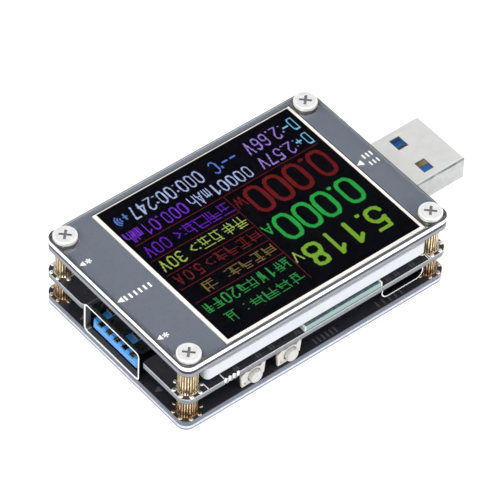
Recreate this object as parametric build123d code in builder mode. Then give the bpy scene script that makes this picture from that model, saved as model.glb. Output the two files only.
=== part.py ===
"""USB power meter: a see-through sandwich of circuit boards with a colour display.

From the table up: a clear base cover, a black lower board, short standoffs, the main board with the
connectors and the two side buttons, tall standoffs, the display, a black bezel board round it, and a
clear top cover.  Four screws from above and four from below clamp each corner's pair of standoffs.

Frame: origin at the centre of the base cover's underside, +X towards the plug, +Z up, millimetres.
"""
import os

from build123d import *

# ---------------------------------------------------------------- driving dimensions
# Plates
PLATE_LENGTH = 54.0
PLATE_WIDTH = 36.0
PLATE_CORNER = 1.8
HOLE_SPACING_X = 49.2
HOLE_SPACING_Y = 31.2
CLEARANCE_HOLE_RADIUS = 1.1
COVER_THICKNESS = 1.0
LOWER_BOARD_THICKNESS = 1.0
MAIN_BOARD_THICKNESS = 1.1
BEZEL_BOARD_THICKNESS = 1.3
LOWER_GAP = 4.1
UPPER_GAP = 5.2

# Levels, from the table up
LOWER_BOARD_Z = COVER_THICKNESS
LOWER_BOARD_TOP = LOWER_BOARD_Z + LOWER_BOARD_THICKNESS
MAIN_BOARD_Z = LOWER_BOARD_TOP + LOWER_GAP
MAIN_BOARD_TOP = MAIN_BOARD_Z + MAIN_BOARD_THICKNESS
BEZEL_Z = MAIN_BOARD_TOP + UPPER_GAP
TOP_COVER_Z = BEZEL_Z + BEZEL_BOARD_THICKNESS
TOP_COVER_TOP = TOP_COVER_Z + COVER_THICKNESS

# Fasteners: M2 thread, drawn at its outside diameter
SCREW_RADIUS = 0.98
THREAD_BORE_RADIUS = 1.0
STANDOFF_RADIUS = 1.65
KNURL_COUNT = 24
KNURL_GROOVE_RADIUS = 0.13
STUD_LENGTH = 2.2
TOP_BORE_DEPTH = 4.4
HEAD_RADIUS = 2.0
HEAD_HEIGHT = 0.7
HEAD_EDGE = 0.2
TOP_SCREW_LENGTH = 5.0
SINK_RADIUS = 1.95
SINK_ANGLE = 90.0
SINK_HEAD_HEIGHT = 0.85
SINK_HEAD_RADIUS = SINK_HEAD_HEIGHT + SCREW_RADIUS
BASE_SCREW_LENGTH = 4.0
CROSS_SPAN = 2.1
CROSS_WIDTH = 0.46
CROSS_DEPTH = 0.42
BASE_CROSS_DEPTH = 0.6

# Display
WINDOW_X = 2.1
WINDOW_LENGTH = 40.8
WINDOW_WIDTH = 34.4
WINDOW_FIT = 0.15
DISPLAY_X = 0.2
DISPLAY_LENGTH = 45.0
DISPLAY_WIDTH = 34.1
DISPLAY_Z = 11.0
TRAY_FLOOR = 0.2
PANEL_X = 2.2
PANEL_Y = 0.25
PANEL_LENGTH = 39.3
PANEL_WIDTH = 33.3
PANEL_THICKNESS = 1.1
PANEL_GAP = 0.05
BACKLIGHT_THICKNESS = 1.2
PAD_Z = 8.55
PAD_WIDTH = 34.7
PAD_CORNER = 0.9
FLEX_X = 5.3
FLEX_WIDTH = 12.6
FLEX_THICKNESS = 0.15
FLEX_Z = 7.6
FLEX_RISE_Y = 9.0
FLEX_SLOT = 1.0

# Connector that the display's flex goes into, at the -Y edge of the main board
FPC_X = 5.1
FPC_WIDTH = 16.0
FPC_DEPTH = 3.6
FPC_HEIGHT = 1.0
FPC_FRONT_Y = -17.9
FPC_END = 0.3
FPC_MOUTH_HEIGHT = 0.45
LATCH_DEPTH = 1.5
LATCH_HEIGHT = 0.95
LATCH_SLOPE = 0.15

# Plug, type A
PLUG_WIDTH = 12.0
PLUG_HEIGHT = 4.5
PLUG_TIP_X = 40.8
PLUG_REAR_X = 23.2
PLUG_Y = 0.1
PLUG_Z = 6.9
PLUG_WALL = 0.3
PLUG_CORNER = 0.35
PLUG_HOLE_LENGTH = 2.05
PLUG_HOLE_WIDTH = 2.55
PLUG_HOLE_SPACING = 6.35
PLUG_HOLE_FROM_TIP = 6.3
PLUG_TONGUE_THICKNESS = 1.85
PLUG_BLOCK_LENGTH = 4.2
PLUG_NOTCH_X = 22.6
A_CONTACT_PITCHES = (-3.5, -1.0, 1.0, 3.5)
SUPERSPEED_PITCH = 2.0
SUPERSPEED_COUNT = 5

# Socket, type A, sunk into a notch in the main board
SOCKET_WIDTH = 13.2
SOCKET_HEIGHT = 5.6
SOCKET_CORNER = 0.7
SOCKET_WALL = 0.3
SOCKET_FRONT_X = -27.1
SOCKET_LENGTH = 13.9
SOCKET_Y = 0.43
SOCKET_Z = 5.15
MOUTH_WIDTH = 14.1
MOUTH_HEIGHT = 6.3
MOUTH_CORNER = 0.9
LIP_LENGTH = 0.8
SOCKET_TONGUE_WIDTH = 11.4
SOCKET_TONGUE_THICKNESS = 1.85
SOCKET_TONGUE_Z = 3.1
SOCKET_TONGUE_SETBACK = 0.65
SOCKET_BLOCK_LENGTH = 2.0
NOTCH_SIDE = 0.45
SOCKET_NOTCH_Y = 0.18
SOCKET_NOTCH_WIDTH = 14.95
SOCKET_NOTCH_CORNERS = (0.4, 0.9)
SPRING_WINDOW_LENGTH = 3.4
SPRING_WINDOW_WIDTH = 2.3
SPRING_SPACING = 6.5
SPRING_SETBACK = 0.9
SPRING_WIDTH = 1.5
SPRING_LENGTH = 2.2

# Socket, type C, under the main board
C_WIDTH = 8.74
C_HEIGHT = 2.96
C_WALL = 0.2
C_X = 18.0
C_FRONT_Y = -17.35
C_DEPTH = 7.3
C_TONGUE_WIDTH = 6.69
C_TONGUE_THICKNESS = 0.7
C_TONGUE_SETBACK = 1.0
C_BLOCK_LENGTH = 1.6
C_CONTACT_COUNT = 12
C_CONTACT_PITCH = 0.5

# Side push switches, under the main board
MENU_SWITCH_X = -12.8
SELECT_SWITCH_X = -5.5
SWITCH_FRONT_Y = -17.65
SWITCH_WIDTH = 4.4
SWITCH_HEIGHT = 4.0
SWITCH_DEPTH = 3.3
SWITCH_PLATE = 0.4
PLATE_DISC_RADIUS = 1.65
EAR_HOLE_SPOT = (-1.83, -0.93)
EAR_HOLE_RADIUS = 0.22
BUTTON_RADIUS = 1.15
BUTTON_DROP = 0.3
BUTTON_BORE_RADIUS = 1.3
BUTTON_PROUD = 0.8
BUTTON_TRAVEL = 0.25
FLANGE_WIDTH = 3.2
FLANGE_HEIGHT = 1.8
FLANGE_THICKNESS = 0.5
FLANGE_GAP = 0.12
DOME_RADIUS = 1.2
DOME_THICKNESS = 0.1
DOME_GAP = 0.05

# Tinned half holes on the -Y edge of the main board
EDGE_HOLE_COUNT = 4
EDGE_HOLE_PITCH = 0.85
EDGE_HOLE_RADIUS = 0.25
EDGE_HOLE_X = -17.65

# A small step that keeps a cut clear of the face that it starts from
OVERCUT = 0.5


def save(builder, name):
    """Label one finished piece and write it to its own file."""
    builder.part.label = name
    export_step(builder.part, f"parts/{name}.step")


os.makedirs("parts", exist_ok=True)

# ---------------------------------------------------------------- clear covers and boards
with BuildPart() as base_cover:
    with BuildSketch():
        RectangleRounded(PLATE_LENGTH, PLATE_WIDTH, PLATE_CORNER)
    extrude(amount=COVER_THICKNESS)
    with Locations(Plane(origin=(0, 0, 0), z_dir=(0, 0, -1))):
        with GridLocations(HOLE_SPACING_X, HOLE_SPACING_Y, 2, 2):
            CounterSinkHole(CLEARANCE_HOLE_RADIUS, SINK_RADIUS, counter_sink_angle=SINK_ANGLE)
save(base_cover, "base_cover")

with BuildPart() as lower_board:
    with BuildSketch(Plane.XY.offset(LOWER_BOARD_Z)):
        RectangleRounded(PLATE_LENGTH, PLATE_WIDTH, PLATE_CORNER)
        with GridLocations(HOLE_SPACING_X, HOLE_SPACING_Y, 2, 2):
            Circle(CLEARANCE_HOLE_RADIUS, mode=Mode.SUBTRACT)
    extrude(amount=LOWER_BOARD_THICKNESS)
save(lower_board, "lower_board")

socket_notch_length = SOCKET_LENGTH + SOCKET_FRONT_X + PLATE_LENGTH / 2 + NOTCH_SIDE
plug_notch_length = PLATE_LENGTH / 2 - PLUG_NOTCH_X
plug_notch_width = PLUG_WIDTH + 2 * NOTCH_SIDE

with BuildPart() as main_board:
    with BuildSketch(Plane.XY.offset(MAIN_BOARD_Z)) as main_outline:
        RectangleRounded(PLATE_LENGTH, PLATE_WIDTH, PLATE_CORNER)
        with GridLocations(HOLE_SPACING_X, HOLE_SPACING_Y, 2, 2):
            Circle(CLEARANCE_HOLE_RADIUS, mode=Mode.SUBTRACT)
        with Locations((-PLATE_LENGTH / 2 + socket_notch_length / 2, SOCKET_NOTCH_Y)):
            Rectangle(socket_notch_length, SOCKET_NOTCH_WIDTH, mode=Mode.SUBTRACT)
        with Locations((PLATE_LENGTH / 2 - plug_notch_length / 2, PLUG_Y)):
            Rectangle(plug_notch_length, plug_notch_width, mode=Mode.SUBTRACT)
        with Locations((EDGE_HOLE_X, -PLATE_WIDTH / 2)):
            with GridLocations(EDGE_HOLE_PITCH, 0, EDGE_HOLE_COUNT, 1):
                Circle(EDGE_HOLE_RADIUS, mode=Mode.SUBTRACT)
        for side, corner in zip((-1, 1), SOCKET_NOTCH_CORNERS):
            notch_edge_y = SOCKET_NOTCH_Y + side * SOCKET_NOTCH_WIDTH / 2
            notch_mouth = (
                main_outline.vertices()
                .filter_by_position(Axis.X, -PLATE_LENGTH / 2 - 0.01, -PLATE_LENGTH / 2 + 0.01)
                .filter_by_position(Axis.Y, notch_edge_y - 0.01, notch_edge_y + 0.01)
            )
            fillet(notch_mouth, corner)
    extrude(amount=MAIN_BOARD_THICKNESS)
save(main_board, "main_board")

with BuildPart() as bezel_board:
    with BuildSketch(Plane.XY.offset(BEZEL_Z)):
        RectangleRounded(PLATE_LENGTH, PLATE_WIDTH, PLATE_CORNER)
        with GridLocations(HOLE_SPACING_X, HOLE_SPACING_Y, 2, 2):
            Circle(CLEARANCE_HOLE_RADIUS, mode=Mode.SUBTRACT)
        with Locations((WINDOW_X, 0)):
            Rectangle(WINDOW_LENGTH, WINDOW_WIDTH, mode=Mode.SUBTRACT)
    extrude(amount=BEZEL_BOARD_THICKNESS)
save(bezel_board, "bezel_board")

with BuildPart() as top_cover:
    with BuildSketch(Plane.XY.offset(TOP_COVER_Z)):
        RectangleRounded(PLATE_LENGTH, PLATE_WIDTH, PLATE_CORNER)
        with GridLocations(HOLE_SPACING_X, HOLE_SPACING_Y, 2, 2):
            Circle(CLEARANCE_HOLE_RADIUS, mode=Mode.SUBTRACT)
    extrude(amount=COVER_THICKNESS)
save(top_cover, "top_cover")

# ---------------------------------------------------------------- standoffs and screws
with BuildPart() as lower_standoffs:
    with BuildSketch(Plane.XY.offset(LOWER_BOARD_TOP)):
        with GridLocations(HOLE_SPACING_X, HOLE_SPACING_Y, 2, 2):
            Circle(STANDOFF_RADIUS)
            Circle(THREAD_BORE_RADIUS, mode=Mode.SUBTRACT)
            with PolarLocations(STANDOFF_RADIUS, KNURL_COUNT):
                Circle(KNURL_GROOVE_RADIUS, mode=Mode.SUBTRACT)
    extrude(amount=LOWER_GAP)
save(lower_standoffs, "lower_standoffs")

with BuildPart() as upper_standoffs:
    with BuildSketch(Plane.XY.offset(MAIN_BOARD_TOP)):
        with GridLocations(HOLE_SPACING_X, HOLE_SPACING_Y, 2, 2):
            Circle(STANDOFF_RADIUS)
            with PolarLocations(STANDOFF_RADIUS, KNURL_COUNT):
                Circle(KNURL_GROOVE_RADIUS, mode=Mode.SUBTRACT)
    extrude(amount=UPPER_GAP)
    with BuildSketch(Plane.XY.offset(BEZEL_Z - TOP_BORE_DEPTH)):
        with GridLocations(HOLE_SPACING_X, HOLE_SPACING_Y, 2, 2):
            Circle(THREAD_BORE_RADIUS)
    extrude(amount=TOP_BORE_DEPTH, mode=Mode.SUBTRACT)
    with BuildSketch(Plane.XY.offset(MAIN_BOARD_TOP)):
        with GridLocations(HOLE_SPACING_X, HOLE_SPACING_Y, 2, 2):
            Circle(SCREW_RADIUS)
    extrude(amount=-STUD_LENGTH)
save(upper_standoffs, "upper_standoffs")

with BuildPart() as top_screws:
    with BuildSketch(Plane.XY.offset(TOP_COVER_TOP)):
        with GridLocations(HOLE_SPACING_X, HOLE_SPACING_Y, 2, 2):
            Circle(HEAD_RADIUS)
    extrude(amount=HEAD_HEIGHT)
    fillet(top_screws.faces().sort_by(Axis.Z)[-4:].edges(), HEAD_EDGE)
    with BuildSketch(Plane.XY.offset(TOP_COVER_TOP + HEAD_HEIGHT)):
        with GridLocations(HOLE_SPACING_X, HOLE_SPACING_Y, 2, 2):
            Rectangle(CROSS_SPAN, CROSS_WIDTH, rotation=45)
            Rectangle(CROSS_WIDTH, CROSS_SPAN, rotation=45)
    extrude(amount=-CROSS_DEPTH, mode=Mode.SUBTRACT)
    with BuildSketch(Plane.XY.offset(TOP_COVER_TOP)):
        with GridLocations(HOLE_SPACING_X, HOLE_SPACING_Y, 2, 2):
            Circle(SCREW_RADIUS)
    extrude(amount=-TOP_SCREW_LENGTH)
save(top_screws, "top_screws")

with BuildPart() as base_screws:
    with GridLocations(HOLE_SPACING_X, HOLE_SPACING_Y, 2, 2):
        Cone(
            SINK_HEAD_RADIUS,
            SCREW_RADIUS,
            SINK_HEAD_HEIGHT,
            align=(Align.CENTER, Align.CENTER, Align.MIN),
        )
    with BuildSketch(Plane.XY.offset(SINK_HEAD_HEIGHT)):
        with GridLocations(HOLE_SPACING_X, HOLE_SPACING_Y, 2, 2):
            Circle(SCREW_RADIUS)
    extrude(amount=BASE_SCREW_LENGTH - SINK_HEAD_HEIGHT)
    with BuildSketch():
        with GridLocations(HOLE_SPACING_X, HOLE_SPACING_Y, 2, 2):
            Rectangle(CROSS_SPAN, CROSS_WIDTH, rotation=45)
            Rectangle(CROSS_WIDTH, CROSS_SPAN, rotation=45)
    extrude(amount=BASE_CROSS_DEPTH, mode=Mode.SUBTRACT)
save(base_screws, "base_screws")

# ---------------------------------------------------------------- display
panel_top = TOP_COVER_Z - PANEL_GAP
panel_z = panel_top - PANEL_THICKNESS
tray_pocket_z = DISPLAY_Z + TRAY_FLOOR
rim_length = WINDOW_LENGTH - 2 * WINDOW_FIT
rim_width = WINDOW_WIDTH - 2 * WINDOW_FIT

with BuildPart() as display_frame:
    with BuildSketch(Plane.XY.offset(DISPLAY_Z)):
        with Locations((DISPLAY_X, 0)):
            Rectangle(DISPLAY_LENGTH, DISPLAY_WIDTH)
    extrude(amount=BEZEL_Z - DISPLAY_Z - PANEL_GAP)
    with BuildSketch(Plane.XY.offset(DISPLAY_Z)):
        with Locations((WINDOW_X, 0)):
            Rectangle(rim_length, rim_width)
    extrude(amount=panel_top - DISPLAY_Z)
    with BuildSketch(Plane.XY.offset(tray_pocket_z)):
        with Locations((PANEL_X, PANEL_Y)):
            Rectangle(PANEL_LENGTH, PANEL_WIDTH)
    extrude(amount=panel_top - tray_pocket_z, mode=Mode.SUBTRACT)
save(display_frame, "display_frame")

with BuildPart() as display_backlight:
    with BuildSketch(Plane.XY.offset(tray_pocket_z)):
        with Locations((PANEL_X, PANEL_Y)):
            Rectangle(PANEL_LENGTH - 2 * WINDOW_FIT, PANEL_WIDTH - 2 * WINDOW_FIT)
    extrude(amount=BACKLIGHT_THICKNESS)
save(display_backlight, "display_backlight")

with BuildPart() as display_panel:
    with BuildSketch(Plane.XY.offset(panel_z)):
        with Locations((PANEL_X, PANEL_Y)):
            Rectangle(PANEL_LENGTH - 2 * PANEL_GAP, PANEL_WIDTH - 2 * PANEL_GAP)
    extrude(amount=PANEL_THICKNESS)
save(display_panel, "display_panel")

with BuildPart() as display_pad:
    with BuildSketch(Plane.XY.offset(PAD_Z)):
        with Locations((DISPLAY_X, 0)):
            RectangleRounded(DISPLAY_LENGTH, PAD_WIDTH, PAD_CORNER)
        with Locations((FLEX_X, FLEX_RISE_Y)):
            Rectangle(FLEX_WIDTH + FLEX_SLOT, FLEX_SLOT, mode=Mode.SUBTRACT)
    extrude(amount=DISPLAY_Z - PAD_Z)
save(display_pad, "display_pad")

flex_front_y = FPC_FRONT_Y + FPC_DEPTH - 1.2
with BuildPart() as display_flex:
    with BuildSketch(Plane.YZ.offset(FLEX_X - FLEX_WIDTH / 2)):
        with BuildLine():
            Polyline(
                (flex_front_y, FLEX_Z),
                (FLEX_RISE_Y + FLEX_THICKNESS / 2, FLEX_Z),
                (FLEX_RISE_Y + FLEX_THICKNESS / 2, DISPLAY_Z),
                (FLEX_RISE_Y - FLEX_THICKNESS / 2, DISPLAY_Z),
                (FLEX_RISE_Y - FLEX_THICKNESS / 2, FLEX_Z + FLEX_THICKNESS),
                (flex_front_y, FLEX_Z + FLEX_THICKNESS),
                close=True,
            )
        make_face()
    extrude(amount=FLEX_WIDTH)
save(display_flex, "display_flex")

fpc_centre_y = FPC_FRONT_Y + FPC_DEPTH / 2
latch_width = FPC_WIDTH - 2 * FPC_END
with BuildPart() as flex_connector:
    with BuildSketch(Plane.XY.offset(MAIN_BOARD_TOP)):
        with Locations((FPC_X, fpc_centre_y)):
            Rectangle(FPC_WIDTH, FPC_DEPTH)
    extrude(amount=FPC_HEIGHT)
    with BuildSketch(Plane.XY.offset(MAIN_BOARD_TOP)):
        with Locations((FPC_X, FPC_FRONT_Y + LATCH_DEPTH / 2)):
            Rectangle(latch_width, LATCH_DEPTH)
    extrude(amount=FPC_HEIGHT, mode=Mode.SUBTRACT)
    with BuildSketch(Plane.XY.offset(FLEX_Z - FPC_MOUTH_HEIGHT / 2 + FLEX_THICKNESS / 2)):
        with Locations((FPC_X, FPC_FRONT_Y + FPC_DEPTH - 0.7)):
            Rectangle(latch_width, 1.4)
    extrude(amount=FPC_MOUTH_HEIGHT, mode=Mode.SUBTRACT)
save(flex_connector, "flex_connector")

with BuildPart() as flex_latch:
    with BuildSketch(Plane.YZ.offset(FPC_X - latch_width / 2 + PANEL_GAP)):
        with BuildLine():
            Polyline(
                (FPC_FRONT_Y, MAIN_BOARD_TOP),
                (FPC_FRONT_Y + LATCH_DEPTH - PANEL_GAP, MAIN_BOARD_TOP),
                (FPC_FRONT_Y + LATCH_DEPTH - PANEL_GAP, MAIN_BOARD_TOP + LATCH_HEIGHT),
                (FPC_FRONT_Y + LATCH_SLOPE, MAIN_BOARD_TOP + LATCH_HEIGHT),
                close=True,
            )
        make_face()
    extrude(amount=latch_width - 2 * PANEL_GAP)
save(flex_latch, "flex_latch")

# ---------------------------------------------------------------- type A plug
plug_bottom = PLUG_Z - PLUG_HEIGHT / 2
plug_inner_width = PLUG_WIDTH - 2 * PLUG_WALL
plug_inner_height = PLUG_HEIGHT - 2 * PLUG_WALL
plug_length = PLUG_TIP_X - PLUG_REAR_X
plug_tongue_top = plug_bottom + PLUG_WALL + PLUG_TONGUE_THICKNESS
plug_block_x = PLUG_REAR_X + PLUG_BLOCK_LENGTH
contact_thickness = 0.15
plug_contact_width = 1.0

with BuildPart() as usb_plug_shell:
    with BuildSketch(Plane.YZ.offset(PLUG_REAR_X)):
        with Locations((PLUG_Y, PLUG_Z)):
            RectangleRounded(PLUG_WIDTH, PLUG_HEIGHT, PLUG_CORNER)
            RectangleRounded(
                plug_inner_width,
                plug_inner_height,
                PLUG_CORNER - PLUG_WALL,
                mode=Mode.SUBTRACT,
            )
    extrude(amount=plug_length)
    with BuildSketch(Plane.XY.offset(plug_bottom - OVERCUT)):
        with Locations((PLUG_TIP_X - PLUG_HOLE_FROM_TIP, PLUG_Y)):
            with GridLocations(0, PLUG_HOLE_SPACING, 1, 2):
                Rectangle(PLUG_HOLE_LENGTH, PLUG_HOLE_WIDTH)
    extrude(amount=PLUG_HEIGHT + 2 * OVERCUT, mode=Mode.SUBTRACT)
save(usb_plug_shell, "usb_plug_shell")

with BuildPart() as usb_plug_insulator:
    with BuildSketch(Plane.YZ.offset(PLUG_REAR_X)):
        with Locations((PLUG_Y, PLUG_Z)):
            RectangleRounded(plug_inner_width, plug_inner_height, PLUG_CORNER - PLUG_WALL)
    extrude(amount=PLUG_BLOCK_LENGTH)
    with BuildSketch(Plane.YZ.offset(PLUG_REAR_X)):
        with Locations((PLUG_Y, plug_bottom + PLUG_WALL + PLUG_TONGUE_THICKNESS / 2)):
            RectangleRounded(plug_inner_width, PLUG_TONGUE_THICKNESS, PLUG_CORNER - PLUG_WALL)
    extrude(amount=plug_length - PLUG_WALL)
    with BuildSketch(Plane.XY.offset(plug_tongue_top - contact_thickness)):
        for pitch in A_CONTACT_PITCHES:
            with Locations((PLUG_REAR_X + plug_length / 2, PLUG_Y + pitch)):
                Rectangle(plug_length + OVERCUT, plug_contact_width + 2 * PANEL_GAP)
    extrude(amount=contact_thickness, mode=Mode.SUBTRACT)
save(usb_plug_insulator, "usb_plug_insulator")

plug_contact_tip_x = PLUG_TIP_X - 1.1
plug_foot_x = PLUG_NOTCH_X - 1.2
plug_riser_x = PLUG_NOTCH_X + 0.2
with BuildPart() as usb_plug_contacts:
    for pitch in A_CONTACT_PITCHES:
        with BuildSketch(Plane.XZ.offset(-(PLUG_Y + pitch - plug_contact_width / 2))):
            with BuildLine():
                Polyline(
                    (plug_contact_tip_x, plug_tongue_top),
                    (plug_contact_tip_x, plug_tongue_top - contact_thickness),
                    (plug_riser_x, plug_tongue_top - contact_thickness),
                    (plug_riser_x, MAIN_BOARD_TOP),
                    (plug_foot_x, MAIN_BOARD_TOP),
                    (plug_foot_x, MAIN_BOARD_TOP + contact_thickness),
                    (plug_riser_x + contact_thickness, MAIN_BOARD_TOP + contact_thickness),
                    (plug_riser_x + contact_thickness, plug_tongue_top),
                    close=True,
                )
            make_face()
        extrude(amount=-plug_contact_width)
save(usb_plug_contacts, "usb_plug_contacts")

# ---------------------------------------------------------------- type A socket
socket_top = SOCKET_Z + SOCKET_HEIGHT / 2
socket_lip_x = SOCKET_FRONT_X + LIP_LENGTH
socket_inner_width = SOCKET_WIDTH - 2 * SOCKET_WALL
socket_inner_height = SOCKET_HEIGHT - 2 * SOCKET_WALL
socket_rear_x = SOCKET_FRONT_X + SOCKET_LENGTH
socket_block_x = socket_rear_x - SOCKET_BLOCK_LENGTH
socket_tongue_x = SOCKET_FRONT_X + SOCKET_TONGUE_SETBACK
socket_tongue_length = socket_block_x - socket_tongue_x
socket_tongue_top = SOCKET_TONGUE_Z + SOCKET_TONGUE_THICKNESS
spring_window_x = SOCKET_FRONT_X + SPRING_SETBACK + SPRING_WINDOW_LENGTH / 2
spring_root_x = spring_window_x + SPRING_WINDOW_LENGTH / 2 - SPRING_LENGTH / 2

with BuildPart() as usb_socket_shell:
    for inset, mode in ((0, Mode.ADD), (SOCKET_WALL, Mode.SUBTRACT)):
        with BuildSketch(Plane.YZ.offset(SOCKET_FRONT_X)):
            with Locations((SOCKET_Y, SOCKET_Z)):
                RectangleRounded(MOUTH_WIDTH - 2 * inset, MOUTH_HEIGHT - 2 * inset, MOUTH_CORNER - inset)
        with BuildSketch(Plane.YZ.offset(socket_lip_x)) as lip_back:
            with Locations((SOCKET_Y, SOCKET_Z)):
                RectangleRounded(SOCKET_WIDTH - 2 * inset, SOCKET_HEIGHT - 2 * inset, SOCKET_CORNER - inset)
        loft(mode=mode)
        extrude(lip_back.sketch, amount=SOCKET_LENGTH - LIP_LENGTH, mode=mode)
    with BuildSketch(Plane.XY.offset(socket_top - SOCKET_WALL)):
        with Locations((spring_window_x, SOCKET_Y)):
            with GridLocations(0, SPRING_SPACING, 1, 2):
                Rectangle(SPRING_WINDOW_LENGTH, SPRING_WINDOW_WIDTH)
    extrude(amount=SOCKET_WALL, mode=Mode.SUBTRACT)
    with BuildSketch(Plane.XY.offset(socket_top - SOCKET_WALL)):
        with Locations((spring_root_x, SOCKET_Y)):
            with GridLocations(0, SPRING_SPACING, 1, 2):
                Rectangle(SPRING_LENGTH, SPRING_WIDTH)
    extrude(amount=SOCKET_WALL)
save(usb_socket_shell, "usb_socket_shell")

front_pad_length = 1.5
rear_strip_length = 6.0
socket_pad_width = 1.15
with BuildPart() as usb_socket_tongue:
    with BuildSketch(Plane.YZ.offset(socket_tongue_x)):
        with Locations((SOCKET_Y, SOCKET_TONGUE_Z + SOCKET_TONGUE_THICKNESS / 2)):
            Rectangle(SOCKET_TONGUE_WIDTH, SOCKET_TONGUE_THICKNESS)
    extrude(amount=socket_tongue_length)
    chamfer(usb_socket_tongue.faces().sort_by(Axis.X)[0].edges(), 0.35)
    with BuildSketch(Plane.YZ.offset(socket_block_x)):
        with Locations((SOCKET_Y, SOCKET_Z)):
            RectangleRounded(socket_inner_width, socket_inner_height, SOCKET_CORNER - SOCKET_WALL)
    extrude(amount=SOCKET_BLOCK_LENGTH)
    with BuildSketch(Plane.XY.offset(socket_tongue_top - SOCKET_WALL)):
        with Locations((socket_tongue_x + front_pad_length / 2, SOCKET_Y)):
            with GridLocations(0, SUPERSPEED_PITCH, 1, SUPERSPEED_COUNT):
                Rectangle(front_pad_length, socket_pad_width)
        with Locations((socket_block_x - rear_strip_length / 2, SOCKET_Y)):
            for pitch in A_CONTACT_PITCHES:
                with Locations((0, pitch)):
                    Rectangle(rear_strip_length, plug_contact_width + 2 * PANEL_GAP)
    extrude(amount=SOCKET_WALL, mode=Mode.SUBTRACT)
save(usb_socket_tongue, "usb_socket_tongue")

with BuildPart() as usb_socket_contacts:
    with BuildSketch(Plane.XY.offset(socket_tongue_top - SOCKET_WALL)):
        with Locations((socket_tongue_x + front_pad_length / 2 + 0.1, SOCKET_Y)):
            with GridLocations(0, SUPERSPEED_PITCH, 1, SUPERSPEED_COUNT):
                Rectangle(front_pad_length - 0.2, socket_pad_width - 2 * PANEL_GAP)
        with Locations((socket_block_x - rear_strip_length / 2, SOCKET_Y)):
            for pitch in A_CONTACT_PITCHES:
                with Locations((0, pitch)):
                    Rectangle(rear_strip_length - 2 * PANEL_GAP, plug_contact_width)
    extrude(amount=contact_thickness)
save(usb_socket_contacts, "usb_socket_contacts")

# ---------------------------------------------------------------- type C socket
c_z = MAIN_BOARD_Z - C_HEIGHT / 2
c_plane = Plane(origin=(C_X, C_FRONT_Y, c_z), x_dir=(1, 0, 0), z_dir=(0, -1, 0))
c_inner_width = C_WIDTH - 2 * C_WALL
c_inner_height = C_HEIGHT - 2 * C_WALL
c_tongue_length = C_DEPTH - C_TONGUE_SETBACK - C_BLOCK_LENGTH

with BuildPart() as usb_c_shell:
    with BuildSketch(c_plane):
        SlotOverall(C_WIDTH, C_HEIGHT)
        SlotOverall(c_inner_width, c_inner_height, mode=Mode.SUBTRACT)
    extrude(amount=-C_DEPTH)
save(usb_c_shell, "usb_c_shell")

with BuildPart() as usb_c_tongue:
    with BuildSketch(c_plane.offset(-C_TONGUE_SETBACK)):
        Rectangle(C_TONGUE_WIDTH, C_TONGUE_THICKNESS)
    extrude(amount=-c_tongue_length)
    with BuildSketch(c_plane.offset(C_BLOCK_LENGTH - C_DEPTH)):
        SlotOverall(c_inner_width, c_inner_height)
    extrude(amount=-C_BLOCK_LENGTH)
save(usb_c_tongue, "usb_c_tongue")

c_contact_width = 0.28
c_contact_thickness = 0.08
c_contact_length = c_tongue_length - 0.6
c_contact_z = C_TONGUE_THICKNESS / 2 + c_contact_thickness / 2
with BuildPart() as usb_c_contacts:
    for side in (-1, 1):
        with BuildSketch(c_plane.offset(-C_TONGUE_SETBACK - 0.3)):
            with Locations((0, side * c_contact_z)):
                with GridLocations(C_CONTACT_PITCH, 0, C_CONTACT_COUNT, 1):
                    Rectangle(c_contact_width, c_contact_thickness)
        extrude(amount=-c_contact_length)
save(usb_c_contacts, "usb_c_contacts")

# ---------------------------------------------------------------- side push switches
switch_z = MAIN_BOARD_Z - SWITCH_HEIGHT / 2 - BUTTON_DROP
button_front_y = SWITCH_FRONT_Y - BUTTON_PROUD
pocket_depth = FLANGE_THICKNESS + BUTTON_TRAVEL + FLANGE_GAP + DOME_GAP + DOME_THICKNESS
flange_front_y = SWITCH_FRONT_Y + SWITCH_PLATE + FLANGE_GAP
flange_rear_y = flange_front_y + FLANGE_THICKNESS
dome_y = flange_rear_y + BUTTON_TRAVEL + DOME_GAP


def switch_plane(x, y):
    """Plane across a switch at depth y, round its button's axis, with its normal out of the front face."""
    return Plane(origin=(x, y, switch_z), x_dir=(1, 0, 0), z_dir=(0, -1, 0))


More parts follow.
